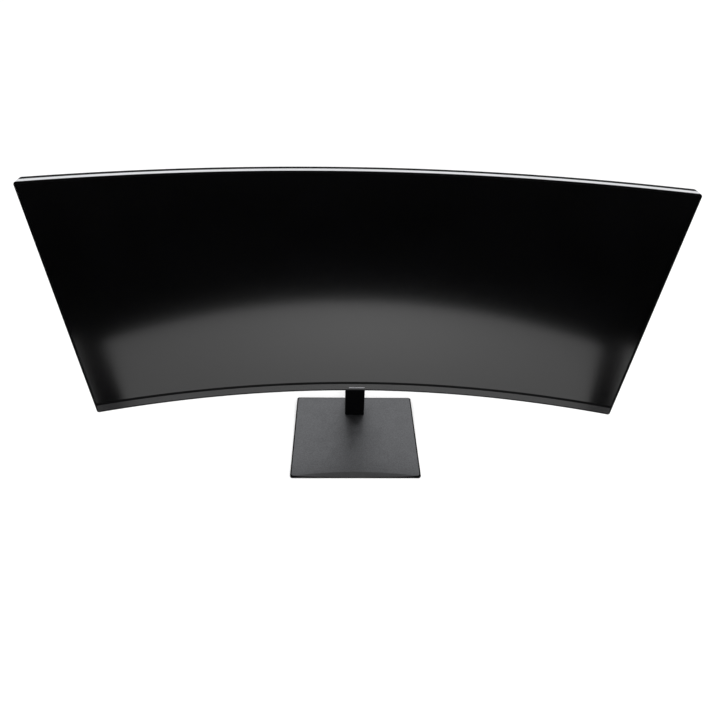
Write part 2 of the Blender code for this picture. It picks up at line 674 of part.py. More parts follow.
def make_captive_screw(screw, ring):
    """Screw that holds the column to the base, turned by a folding ring."""
    head_low, head_high, pivot_z = 1.5, 4.0, 2.5
    head = rod("z", 0, SCREW_Y, 7.0, head_low, head_high, 24)
    shank = rod("z", 0, SCREW_Y, 2.7, 3.0, 20)
    pivots = [rod("x", SCREW_Y, pivot_z, 1.0, a, b, 12) for a, b in ((-9, -5), (5, 9))]
    put("captive_screw", cut(weld(head, shank), *pivots), "steel", screw)

    wire, half, reach = 1.6, 8.2, 14.5
    low = pivot_z - wire / 2
    outer = [(-half - wire / 2, SCREW_Y + 0.8), (-half - wire / 2, SCREW_Y - reach)]
    outer += [(half + wire / 2, SCREW_Y - reach), (half + wire / 2, SCREW_Y + 0.8)]
    inner = [(half - wire / 2, SCREW_Y + 0.8), (half - wire / 2, SCREW_Y - reach + wire)]
    inner += [(-half + wire / 2, SCREW_Y - reach + wire), (-half + wire / 2, SCREW_Y + 0.8)]
    bail = prism([*outer, *inner], "z", low, low + wire)
    stubs = [rod("x", SCREW_Y, pivot_z, 0.6, a, b, 8) for a, b in ((-half, -5.6), (5.6, half))]
    put("screw_ring", weld(bail, *stubs), "spring_steel", ring)


# ---------------------------------------------------------------- assembly


def main():
    for obj in list(bpy.data.objects):
        bpy.data.objects.remove(obj)

    root = Joint("stand_root", Matrix())
    lift = Joint("height_lift", Matrix.Translation((0, HINGE_Y, HINGE_Z)), root)
    tilt = Joint("screen_tilt", Matrix.Translation((0, HINGE_Y, HINGE_Z)), lift)
    drum = Joint("spring_drum_turn", Matrix.Translation((0, DRUM_Y, DRUM_Z)), lift)
    latch = Joint("release_press", curve_frame(0), tilt)
    knob = curve_frame(KNOB_S, KNOB_PIVOT_D, KNOB_H)
    sideways = Joint("joystick_sideways", knob, tilt)
    upright = Joint("joystick_upright", knob, sideways)
    press = Joint("joystick_press", knob, upright)
    screw = Joint("captive_screw_turn", Matrix.Translation((0, SCREW_Y, 2.5)), root)
    ring = Joint("screw_ring_fold", Matrix.Translation((0, SCREW_Y, 2.5)), screw)

    make_front(tilt)
    make_mid_frame(tilt)
    make_backlight(tilt)
    make_rear_cover(tilt)
    make_ports(tilt)
    make_knob(tilt, sideways, upright, press)
    make_latch(tilt, latch, *make_stand_mount(tilt))
    make_arm(lift)
    make_drum(drum)
    make_column(root)
    make_rail(root)
    make_base(root)
    make_captive_screw(screw, ring)


main()
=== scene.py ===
"""Looks of the curved monitor: fine meshes, finishes, studio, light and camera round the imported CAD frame.

Shapes are drawn in millimetres. The display's are drawn flat as (s, d, h): s along the screen, d behind its
front surface, h above its bottom edge. bend() wraps them round the screen's curve.
"""

import math

import bmesh
import bpy
from mathutils import Matrix, Vector


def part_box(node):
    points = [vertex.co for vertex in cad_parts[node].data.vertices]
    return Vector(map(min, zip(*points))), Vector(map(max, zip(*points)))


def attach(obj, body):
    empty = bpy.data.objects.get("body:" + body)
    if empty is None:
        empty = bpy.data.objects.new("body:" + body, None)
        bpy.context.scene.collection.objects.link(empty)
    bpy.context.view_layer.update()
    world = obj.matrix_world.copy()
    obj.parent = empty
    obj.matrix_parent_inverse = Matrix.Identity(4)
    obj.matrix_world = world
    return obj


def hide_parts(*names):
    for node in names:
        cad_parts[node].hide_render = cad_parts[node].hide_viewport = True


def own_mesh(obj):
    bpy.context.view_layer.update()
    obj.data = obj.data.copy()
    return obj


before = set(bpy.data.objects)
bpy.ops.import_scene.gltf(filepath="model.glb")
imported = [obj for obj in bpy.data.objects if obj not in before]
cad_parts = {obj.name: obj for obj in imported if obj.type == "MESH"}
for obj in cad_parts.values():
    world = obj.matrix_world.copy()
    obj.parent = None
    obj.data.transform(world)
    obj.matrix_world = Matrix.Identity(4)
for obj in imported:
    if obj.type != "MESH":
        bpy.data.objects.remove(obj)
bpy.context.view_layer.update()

MM = 0.001


def span(node):
    """Lowest and highest corner of a CAD node, in millimetres."""
    low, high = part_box(node)
    return [v / MM for v in low], [v / MM for v in high]


chin_low, chin_high = span("chin_strip")
_, lip_high = span("bezel_trim")
glass_low, glass_high = span("lcd_cell")
_, rim_high = span("mid_frame")
_, cover_high = span("rear_cover")
base_low, base_high = span("base_plate")
sleeve_low, sleeve_high = span("column_sleeve")
column_low, column_high = span("column_shell")
cap_low, cap_high = span("column_cap")
hinge_low, hinge_high = span("hinge_pin")

FIT = 0.3  # gap between pieces that touch

# Display
CURVE_R = 1500.0
PANEL_Z = chin_low[2]
PANEL_H = rim_high[2] - PANEL_Z
HINGE_Y = (hinge_low[1] + hinge_high[1]) / 2
HINGE_Z = (hinge_low[2] + hinge_high[2]) / 2
HINGE_D = 55.0  # the hinge pin, behind the screen's front
SCREEN_Y = HINGE_Y - HINGE_D
HINGE_H = HINGE_Z - PANEL_Z
CORNER_R = 3.5
CHIN_H, CHIN_LEDGE_H = chin_high[2] - PANEL_Z, 2.0
GROOVE = glass_low[2] - chin_high[2]  # dark gap between the chin and the glass
LIP_W = 2.2  # width of the black front lip
LIP_D, FRAME_D, POD_D = (high[1] - SCREEN_Y for high in (lip_high, rim_high, cover_high))
RIM_D, RIM_EASE = 16.2, 0.4  # back edge of the rear cover's rim and the chamfer on it
HALF_S = CURVE_R * math.asin(glass_high[0] / (CURVE_R + LIP_D)) + LIP_W + FIT
SIDE_TAPER, TAPER_S = 3.85, 350.0  # how far the sides lean in towards the back, and where that starts
WALL = 2.2  # rear cover
FACETS = 96  # flat strips along the screen's curve
PIN_HOLE_R = 4.4
KNOB_S, KNOB_H = 330.0, 36.0
HALF_TURN = [math.radians(-90 + 180 * k / 20) for k in range(21)]
ROUND = 8  # points round a quarter turn

# Stand
BASE_X, BASE_Y = base_high[0], base_high[1]
BASE_LOW, BASE_TOP = base_low[2], base_high[2]
FACET_R, FACET_REACH, FACET_SLOPE = 658.0, 10.5, 0.09  # crescent facet along the base's front edge
COLUMN_X = column_high[0]
COLUMN_FRONT, COLUMN_BACK = column_low[1], column_high[1]
COLUMN_LOW, COLUMN_SEAM, COLUMN_TOP = sleeve_low[2], column_low[2] - FIT, column_high[2]
COLUMN_WALL = 2.2
COLUMN_R = 3.0
SLOT_HALF, SLOT_LOW, SLOT_HIGH = 12.0, HINGE_Z - 84, HINGE_Z + 54
SCREW_Y, SCREW_PIVOT_Z = 74.0, 2.5  # captive screw, and the axis its ring folds about


# ---------------------------------------------------------------- shapes


def rounded(x0, x1, z0, z1, radius, steps=ROUND):
    """Anticlockwise points of a rectangle with round corners."""
    corners = ((x1, z0, -90), (x1, z1, 0), (x0, z1, 90), (x0, z0, 180))
    points = []
    for x, z, start in corners:
        cx = x - math.copysign(radius, x - (x0 + x1) / 2)
        cz = z - math.copysign(radius, z - (z0 + z1) / 2)
        for k in range(steps + 1):
            a = math.radians(start + 90 * k / steps)
            points.append((cx + radius * math.cos(a), cz + radius * math.sin(a)))
    return points


def circle(cx, cz, radius, sides=48):
    turn = 2 * math.pi / sides
    return [(cx + radius * math.cos(k * turn), cz + radius * math.sin(k * turn)) for k in range(sides)]


def along(axis, point, at):
    a, b = point
    return {"x": (at, a, b), "y": (a, at, b), "z": (a, b, at)}[axis]


def loft(loops):
    """Closed solid through loops of equally many points."""
    bm = bmesh.new()
    rings = [[bm.verts.new(p) for p in loop] for loop in loops]
    bm.faces.new(rings[0])
    bm.faces.new(rings[-1])
    for low, high in zip(rings, rings[1:]):
        for k in range(len(low)):
            n = (k + 1) % len(low)
            bm.faces.new((low[k], low[n], high[n], high[k]))
    bmesh.ops.recalc_face_normals(bm, faces=bm.faces)
    return bm


def prism(points, axis, low, high):
    return loft([[along(axis, p, low) for p in points], [along(axis, p, high) for p in points]])


def box(x0, x1, y0, y1, z0, z1):
    return prism(((x0, z0), (x1, z0), (x1, z1), (x0, z1)), "y", y0, y1)


def rod(axis, a, b, radius, low, high, sides=48):
    return prism(circle(a, b, radius, sides), axis, low, high)


def hollow(outer, inner, axis, low, high):
    bm = bmesh.new()
    made = [
        [bm.verts.new(along(axis, p, at)) for p in loop] for at in (low, high) for loop in (outer, inner)
    ]
    out_low, in_low, out_high, in_high = made
    for k in range(len(outer)):
        n = (k + 1) % len(outer)
        for a, b in ((out_low, in_low), (out_low, out_high), (in_low, in_high), (out_high, in_high)):
            bm.faces.new((a[k], a[n], b[n], b[k]))
    bmesh.ops.recalc_face_normals(bm, faces=bm.faces)
    return bm


def lathe(profile, axis, a, b, sides=48):
    """Closed solid of revolution about an axis through (a, b), from (radius, place along the axis) pairs."""
    return loft([[along(axis, p, at) for p in circle(a, b, radius, sides)] for radius, at in profile])


def tube(points, radius, sides=10):
    """Round wire along a path."""
    loops = []
    side = None
    for k, p in enumerate(points):
        ahead = Vector(points[min(k + 1, len(points) - 1)]) - Vector(points[max(k - 1, 0)])
        ahead.normalize()
        side = side or ahead.orthogonal()
        side = side - ahead * side.dot(ahead)
        side.normalize()
        other = ahead.cross(side)
        turn = [2 * math.pi * n / sides for n in range(sides)]
        loops.append([Vector(p) + side * radius * math.cos(t) + other * radius * math.sin(t) for t in turn])
    return loft(loops)


def scratch_object(bm):
    mesh = bpy.data.meshes.new("scratch")
    bm.to_mesh(mesh)
    bm.free()
    obj = bpy.data.objects.new("scratch", mesh)
    bpy.context.scene.collection.objects.link(obj)
    return obj


def applied(target, extra=()):
    """The target's evaluated mesh as a bmesh. The scratch objects are removed."""
    graph = bpy.context.evaluated_depsgraph_get()
    evaluated = target.evaluated_get(graph)
    result = bmesh.new()
    result.from_mesh(evaluated.to_mesh())
    evaluated.to_mesh_clear()
    for obj in [target, *extra]:
        mesh = obj.data
        bpy.data.objects.remove(obj)
        bpy.data.meshes.remove(mesh)
    return result


def combine(bm, operation, *others):
    target = scratch_object(bm)
    cutters = [scratch_object(other) for other in others]
    for cutter in cutters:
        modifier = target.modifiers.new("combine", "BOOLEAN")
        modifier.operation = operation
        modifier.object = cutter
    return applied(target, cutters)


def cut(bm, *others):
    return combine(bm, "DIFFERENCE", *others)


def weld(bm, *others):
    return combine(bm, "UNION", *others)


def soften(bm, width, segments=2, angle=30):
    """Rounds the edges sharper than an angle."""
    target = scratch_object(bm)
    modifier = target.modifiers.new("soften", "BEVEL")
    modifier.width = width
    modifier.segments = segments
    modifier.limit_method = "ANGLE"
    modifier.angle_limit = math.radians(angle)
    modifier.use_clamp_overlap = False
    modifier.miter_outer = "MITER_ARC"
    return applied(target)


def lean(s, d):
    depth = min(max((d - LIP_D) / (RIM_D - LIP_D), 0), 1)
    reach = max((abs(s) - TAPER_S) / (HALF_S - TAPER_S), 0)
    return s - math.copysign(SIDE_TAPER * depth * reach, s)


def place_on_curve(s, d, h):
    a, r = s / CURVE_R, CURVE_R + d
    return Vector((r * math.sin(a), SCREEN_Y - CURVE_R + r * math.cos(a), PANEL_Z + h))


def curve_frame(s, d=0.0, h=0.0):
    return Matrix.Translation(place_on_curve(s, d, h)) @ Matrix.Rotation(-s / CURVE_R, 4, "Z")


def bend(bm):
    step = 2 * HALF_S / FACETS
    for k in range(1, FACETS):
        bmesh.ops.bisect_plane(
            bm,
            geom=[*bm.verts, *bm.edges, *bm.faces],
            dist=1e-4,
            plane_co=(-HALF_S + k * step, 0, 0),
            plane_no=(1, 0, 0),
        )
    for v in bm.verts:
        s, d, h = v.co
        v.co = place_on_curve(lean(s, d), d, h)
    return bm


# ---------------------------------------------------------------- finishes


NOISE_LOW, NOISE_HIGH = 0.3, 0.7  # the range that a noise texture's values mostly lie in


class Look:
    """Node material under construction: a Principled shader with textures in the object's coordinates."""

    def __init__(self, name, rough=0.5, metallic=0.0, specular=0.5):
        self.material = bpy.data.materials.new(name)
        self.material.use_nodes = True
        self.tree = self.material.node_tree
        self.shader = self.tree.nodes["Principled BSDF"]
        values = {
            "Roughness": rough,
            "Metallic": metallic,
            "IOR": 1.5,
            "Specular IOR Level": specular,
        }
        for socket, value in values.items():
            self.shader.inputs[socket].default_value = value
        self.place = self.tree.nodes.new("ShaderNodeTexCoord").outputs["Object"]

    def link(self, a, b):
        self.tree.links.new(a, b)

    def stretched(self, scale):
        node = self.tree.nodes.new("ShaderNodeMapping")
        node.inputs["Scale"].default_value = scale
        self.link(self.place, node.inputs["Vector"])
        return node.outputs["Vector"]

    def noise(self, size_mm, detail=2.0, stretch=None, rough=0.5):
        """Noise whose features are about size_mm across."""
        node = self.tree.nodes.new("ShaderNodeTexNoise")
        node.inputs["Scale"].default_value = 1 / (size_mm * MM)
        node.inputs["Detail"].default_value = detail
        node.inputs["Roughness"].default_value = rough
        self.link(self.stretched(stretch) if stretch else self.place, node.inputs["Vector"])
        return node.outputs["Fac"]

    def cells(self, size_mm):
        node = self.tree.nodes.new("ShaderNodeTexVoronoi")
        node.inputs["Scale"].default_value = 1 / (size_mm * MM)
        self.link(self.place, node.inputs["Vector"])
        return node.outputs["Distance"]

    def colours(self, value, dark, light, start=NOISE_LOW, end=NOISE_HIGH):
        node = self.tree.nodes.new("ShaderNodeValToRGB")
        ramp = node.color_ramp
        ramp.elements[0].position, ramp.elements[0].color = start, (*dark, 1)
        ramp.elements[1].position, ramp.elements[1].color = end, (*light, 1)
        self.link(value, node.inputs["Fac"])
        self.link(node.outputs["Color"], self.shader.inputs["Base Color"])

    def roughness(self, value, low, high):
        node = self.tree.nodes.new("ShaderNodeMapRange")
        node.inputs["From Min"].default_value = NOISE_LOW
        node.inputs["From Max"].default_value = NOISE_HIGH
        node.inputs["To Min"].default_value = low
        node.inputs["To Max"].default_value = high
        self.link(value, node.inputs["Value"])
        self.link(node.outputs["Result"], self.shader.inputs["Roughness"])

    def relief(self, value, depth_mm):
        node = self.tree.nodes.new("ShaderNodeBump")
        node.inputs["Strength"].default_value = 1.0
        node.inputs["Distance"].default_value = depth_mm * MM
        self.link(value, node.inputs["Height"])
        self.link(node.outputs["Normal"], self.shader.inputs["Normal"])


def scaled(colour, factor):
    return tuple(c * factor for c in colour)


def plastic(name, colour, rough, grain_mm, depth_mm, tone=0.12, specular=0.5, tone_mm=35.0):
    """Moulded plastic or paint: cloudy tone, fine moulded grain."""
    look = Look(name, rough, specular=specular)
    cloud = look.noise(tone_mm, 3.0)
    look.colours(cloud, scaled(colour, 1 - tone), scaled(colour, 1 + tone))
    grain = look.noise(grain_mm, 2.0, rough=0.6)
    look.roughness(grain, rough - 0.06, rough + 0.06)
    if depth_mm:
        look.relief(grain, depth_mm)
    return look.material


def metal(name, colour, rough, brushed=(1, 1, 1), grain_mm=0.6, depth_mm=0.002, tone=0.06, metallic=1.0):
    """Bare or painted metal, with its grain stretched along one direction if it is brushed."""
    look = Look(name, rough, metallic)
    grain = look.noise(grain_mm, 3.0, brushed)
    look.colours(grain, scaled(colour, 1 - tone), scaled(colour, 1 + tone))
    look.roughness(look.noise(14.0, 2.0), rough - 0.05, rough + 0.05)
    if depth_mm:
        look.relief(grain, depth_mm)
    return look.material


def glass_front():
    look = Look("screen_glass", 0.135)
    cloud = look.noise(60.0, 2.0)
    look.colours(cloud, (0.0005, 0.0005, 0.0006), (0.0009, 0.0009, 0.0011))
    look.roughness(look.noise(0.7, 1.0), 0.125, 0.145)
    return look.material


def board():
    look = Look("circuit_board", 0.45)
    look.colours(look.cells(2.6), (0.006, 0.060, 0.026), (0.012, 0.105, 0.048), 0.18, 0.24)
    look.roughness(look.noise(2.0, 2.0), 0.35, 0.55)
    return look.material


FINISHES = {
    "screen_glass": glass_front(),
    "screen_border": plastic("screen_border", (0.0008, 0.0008, 0.0009), 0.30, 0.6, 0, specular=0.08),
    "black_trim": plastic("black_trim", (0.0010, 0.0010, 0.0012), 0.40, 0.5, 0.002, specular=0.05),
    "silver_frame": metal(
        "silver_frame", (0.58, 0.59, 0.61), 0.34, grain_mm=0.5, depth_mm=0.003, tone=0.04
    ),
    "dark_plastic": plastic("dark_plastic", (0.008, 0.008, 0.0085), 0.25, 0.45, 0.003, specular=0.41),
    # painted shade: a near-black, barely reflective copy of the chin's plastic, for the dark band round its
    # edges and along its top
    "chin_edge_painted_shade": plastic("chin_edge_painted_shade", (0.0015, 0.0015, 0.0018), 0.40, 0.45, 0.002, specular=0.05),
    # painted shade: a darker, barely reflective copy of the cover's plastic on its outside rim faces
    "cover_rim_painted_shade": plastic("cover_rim_painted_shade", (0.0016, 0.0016, 0.0018), 0.55, 0.5, 0.002, specular=0.03),
    "cover_plastic": plastic(
        "cover_plastic", (0.0100, 0.0100, 0.0108), 0.52, 0.55, 0.012, specular=0.35
    ),
    "powder_coat": metal(
        "powder_coat", (0.121, 0.123, 0.129), 0.43, grain_mm=1.8, depth_mm=0.010, tone=0.16
    ),
    # painted shade: a darker copy of the powder coat for the crescent facet
    "facet_painted_shade": metal(
        "facet_painted_shade", (0.100, 0.100, 0.104), 0.43, grain_mm=1.2, depth_mm=0.008, tone=0.14
    ),
    # painted shade: a near-black copy of the base's coat on the plate's sides, rounded edges and underside,
    # for a dark line along its edges
    "plate_sides_painted_shade": plastic("plate_sides_painted_shade", (0.0012, 0.0012, 0.0014), 0.40, 0.9, 0.004, specular=0.03),
    "column_black": plastic("column_black", (0.0005, 0.0005, 0.0006), 0.30, 0.6, 0.003, specular=0.05),
    "steel": metal("steel", (0.50, 0.51, 0.53), 0.34, brushed=(0.08, 1, 1), grain_mm=0.4),
    "spring_steel": metal("spring_steel", (0.30, 0.31, 0.33), 0.27, brushed=(1, 1, 0.1), grain_mm=0.4),
    "acetal": plastic("acetal", (0.74, 0.73, 0.69), 0.42, 0.5, 0.003, tone=0.04),
    "acrylic": plastic("acrylic", (0.78, 0.81, 0.82), 0.12, 0.8, 0, tone=0.03),
    "white_film": plastic("white_film", (0.84, 0.84, 0.83), 0.50, 0.8, 0, tone=0.03),
    "circuit_board": board(),
    "rubber": plastic("rubber", (0.018, 0.018, 0.018), 0.78, 0.4, 0.02, tone=0.2),
    "badge_grey": metal(
        "badge_grey", (0.19, 0.19, 0.20), 0.36, grain_mm=0.3, depth_mm=0.001, metallic=0.8
    ),
}


# ---------------------------------------------------------------- pieces


def add(name, bm, finish, body, nodes, place=None):
    """Makes a piece from a mesh drawn in millimetres, in the row frame or in the frame `place`, and puts
    it on a CAD body in place of its CAD nodes."""
    if place is not None:
        bmesh.ops.transform(bm, matrix=place, verts=bm.verts)
    bmesh.ops.scale(bm, vec=(MM, MM, MM), verts=bm.verts)
    finishes = finish if isinstance(finish, (list, tuple)) else [finish]
    mesh = bpy.data.meshes.new(name)
    bm.to_mesh(mesh)
    bm.free()
    for item in finishes:
        mesh.materials.append(FINISHES[item])
    mesh.shade_smooth()
    piece = bpy.data.objects.new(name, mesh)
    bpy.context.scene.collection.objects.link(piece)
    even = piece.modifiers.new("even", "WEIGHTED_NORMAL")
    even.keep_sharp = True
    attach(piece, body)
    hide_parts(*nodes)
    return piece


def score(bm, s, h):
    """Cuts the faces along one line of the flat display: at s if it isn't 0, otherwise at h."""
    bmesh.ops.bisect_plane(
        bm,
        geom=[*bm.verts, *bm.edges, *bm.faces],
        dist=1e-4,
        plane_co=(s, 0, h),
        plane_no=(1, 0, 0) if s else (0, 0, 1),
    )


def make_front():
    inner_s, inner_h = HALF_S - LIP_W, PANEL_H - LIP_W
    outline = rounded(-HALF_S, HALF_S, 0, PANEL_H, CORNER_R)
    trim = prism(outline, "y", 0, LIP_D)
    below = box(-500, 500, -10, 10, -10, CHIN_H + FIT)
    window = box(-inner_s, inner_s, -10, 10, CHIN_H + GROOVE - FIT, inner_h)
    recess = box(-inner_s, inner_s, -10, 0.5, 0, CHIN_H + GROOVE)
    trim = soften(cut(trim, below, window, recess), 0.3)
    add("front_lip", bend(trim), "black_trim", "head", ["bezel_trim"])

    pane_s, pane_low, pane_high = inner_s - FIT, CHIN_H + GROOVE, inner_h - FIT
    glass = soften(box(-pane_s, pane_s, 0.3, LIP_D, pane_low, pane_high), 0.12)
    border = 0.9  # black edge of the picture area
    lit_s, lit_low, lit_high = pane_s - border, pane_low + border, pane_high - border
    for line in ((-lit_s, 0), (lit_s, 0), (0, lit_low), (0, lit_high)):
        score(glass, *line)
    for face in glass.faces:
        s, _, h = face.calc_center_median()
        face.material_index = 0 if abs(s) < lit_s and lit_low < h < lit_high else 1
    add("screen", bend(glass), ["screen_glass", "screen_border"], "head", ["lcd_cell"])

    corners = [p for p in outline if p[1] < CHIN_H]
    left = [p for p in corners if p[0] < 0]
    right = [p for p in corners if p[0] > 0]
    face = [*left, *right, (HALF_S, CHIN_H), (-HALF_S, CHIN_H)]
    ledge = cut(prism(face, "y", 1.0, FRAME_D - FIT), box(-500, 500, 0.5, 50, CHIN_LEDGE_H, 50))
    badge_half, badge_low, badge_high, badge_r = 13.6, 4.7, 7.7, 1.49
    pocket = prism(rounded(-badge_half, badge_half, badge_low, badge_high, badge_r), "y", -1, 0.6)
    led_s, led_d = 350.0, 5.0
    led_hole = prism(rounded(led_s - 2.5, led_s + 2.5, led_d - 1.5, led_d + 1.5, 1.0), "z", -1, 4)
    chin = soften(cut(weld(prism(face, "y", 0, LIP_D), ledge), pocket, led_hole), 0.3)
    shade_s, shade_h = HALF_S - 2.0, 2.5  # painted shade: dark band round the chin's front face
    for line in ((-shade_s, 0), (shade_s, 0), (0, shade_h)):
        score(chin, *line)
    chin.normal_update()
    # painted shade: the chin's top, its ends and a band along its bottom get the near-black copy of its
    # plastic
    for face in chin.faces:
        s, _, h = face.calc_center_median()
        top = face.normal.z > 0.3 and h > CHIN_H - 1
        face.material_index = 1 if top or abs(s) > shade_s or h < shade_h else 0
    add("chin", bend(chin), ["dark_plastic", "chin_edge_painted_shade"], "head", ["chin_strip"])

    pill_r = 1.18
    pill = rounded(-badge_half + FIT, badge_half - FIT, badge_low + FIT, badge_high - FIT, pill_r)
    badge = soften(prism(pill, "y", -0.05, 0.3), 0.12, angle=60)
    add("chin_mark", badge, "badge_grey", "head", ["chin_badge"], curve_frame(0))
    lens = soften(prism(rounded(-2.1, 2.1, led_d - 1.1, led_d + 1.1, 0.7), "z", 0.1, 1.8), 0.2, angle=60)
    add("led_lens", lens, "acrylic", "head", ["power_led_lens"], curve_frame(led_s))


def make_rim():
    low, start, wall = CHIN_LEDGE_H + FIT, LIP_D + FIT, 2.2
    wall_ring = hollow(
        rounded(-HALF_S, HALF_S, low, PANEL_H, CORNER_R),
        rounded(-HALF_S + wall, HALF_S - wall, low + wall, PANEL_H - wall, 1.5),
        "y",
        start,
        FRAME_D,
    )
    shelf_ring = hollow(
        rounded(-HALF_S + 1, HALF_S - 1, low + 1, PANEL_H - 1, 2.5),
        rounded(-HALF_S + 8, HALF_S - 8, 20, PANEL_H - 8, 2.5),
        "y",
        start,
        start + 1.2,
    )
    add("silver_rim", bend(soften(weld(wall_ring, shelf_ring), 0.3)), "silver_frame", "head", ["mid_frame"])


def eased(levels, corners, steps=5):
    """Profile levels with each inner corner rounded. corners gives the share of the run on either side."""
    result = [levels[0]]
    for k, (before, after) in enumerate(corners, start=1):
        last, here, ahead = levels[k - 1], levels[k], levels[k + 1]
        start = [h + (l - h) * before for h, l in zip(here, last)]
        end = [h + (n - h) * after for h, n in zip(here, ahead)]
        for n in range(steps + 1):
            t = n / steps
            shares = (1 - t) ** 2, 2 * t * (1 - t), t * t
            points = zip(start, here, end)
            result.append(tuple(sum(w * v for w, v in zip(shares, values)) for values in points))
    result.append(levels[-1])
    return result


def cover_skin(inset):
    """Solid inside the rear cover's outer skin, or with an inset its inner skin."""
    s, h, i, edge = HALF_S, PANEL_H, inset, RIM_EASE
    start = FRAME_D - 0.1 if inset else FRAME_D + FIT
    rim = RIM_D - i
    levels = [
        (s - i, i, h - i, CORNER_R - i * 0.5, start),
        (s - i, i, h - i, CORNER_R - i * 0.5, RIM_D - edge - i),
        (s - edge - i, edge + i, h - edge - i, CORNER_R, rim),
        (235 - i, 34 + i, 292 - i, 22, rim + 2.5),
        (206 - i, 56 + i, 270 - i, 17, POD_D - 2.0 - i),
        (203 - i, 59 + i, 267 - i, 15, POD_D - i),
        (200 - i, 62 + i, 264 - i, 13.5, POD_D - i),
    ]
    if not inset:
        levels = eased(levels, ((0.08, 0.5), (0.5, 0.004), (0.20, 0.35), (0.16, 0.5), (0.5, 0.5)))
    return loft(
        [[(a, d, b) for a, b in rounded(-half, half, low, high, r)] for half, low, high, r, d in levels]
    )


def vent_cutters():
    pitch, half, count = 12.0, 1.5, 26
    first = -pitch * (count - 1) / 2
    places = [(first + pitch * k, 273, 287) for k in range(count)]
    places += [(-174.0 + pitch * k, 39, 53) for k in range(10)]
    return [prism(rounded(s - half, s + half, low, high, 1.45, 4), "y", 5, 60) for s, low, high in places]


def make_rear():
    ports_s, ports_h, bay_half, bay_d = 127.0, 95.0, 57.0, 22.0
    shell = cut(cover_skin(0), cover_skin(WALL))
    bay_low, bay_high = ports_s - bay_half, ports_s + bay_half
    lining = combine(
        box(bay_low - 2, bay_high + 2, bay_d - 2, 60, 30, ports_h + 2), "INTERSECT", cover_skin(0)
    )
    shell = weld(shell, lining)
    bay = prism(rounded(bay_low, bay_high, 10, ports_h, 3.0), "y", bay_d, 60)
    port_window = box(bay_low + 3, bay_high - 3, bay_d + 2, 36, ports_h - 5, ports_h + 5)
    stand_window = prism(rounded(-54, 54, 120, 236, 4), "y", 30, 60)
    shell = cut(shell, bay, port_window, stand_window, *vent_cutters())
    boss_profile = (
        (19.0, 14.0),
        (18.4, 15.8),
        (17.2, 18.4),
        (16.6, 20.0),
        (16.3, 20.6),
        (15.7, 21.0),
    )
    shell = weld(shell, lathe(boss_profile, "y", KNOB_S, KNOB_H))
    well = rod("y", KNOB_S, KNOB_H, 13.0, 9, 19)
    knob_hole = rod("y", KNOB_S, KNOB_H, 8.2, 15, 30)
    holes = []
    screws = ((-300.0, 22.0), (270.0, 22.0), (-300.0, 343.0), (300.0, 343.0))
    for s, h in screws:
        holes += [rod("y", s, h, 2.0, 9, 20, 32), rod("y", s, h, 3.6, 14.0, 20, 32)]
    shell = cut(shell, well, knob_hole, *holes)
    shell = soften(shell, 0.25, angle=35)
    # painted shade: the outside rim faces get the darker copy of the cover's plastic
    for face in shell.faces:
        s, d, h = face.calc_center_median()
        outside = abs(s) > HALF_S - 1.0 or h > PANEL_H - 1.0 or h < 1.0
        face.material_index = 1 if outside and d > FRAME_D else 0
    add("rear_shell", bend(shell), ["cover_plastic", "cover_rim_painted_shade"], "head", ["rear_cover"])

    screw_profile = (
        (1.5, 9.2),
        (1.5, 14.3),
        (2.9, 14.3),
        (3.0, 14.6),
        (2.8, 15.2),
        (2.2, 15.55),
        (1.2, 15.7),
    )
    long, thin, drive_d = 1.5, 0.32, 14.9  # arms of the cross recess, and its floor
    for k, (s, h) in enumerate(screws):
        head = lathe(screw_profile, "y", 0, 0, 32)
        drive = [box(-x, x, drive_d, 20, -z, z) for x, z in ((long, thin), (thin, long))]
        screw = cut(head, *drive)
        add(f"rear_screw_{k + 1}", screw, "steel", "head", [f"cover_screw_{k + 1}"], curve_frame(s, 0, h))


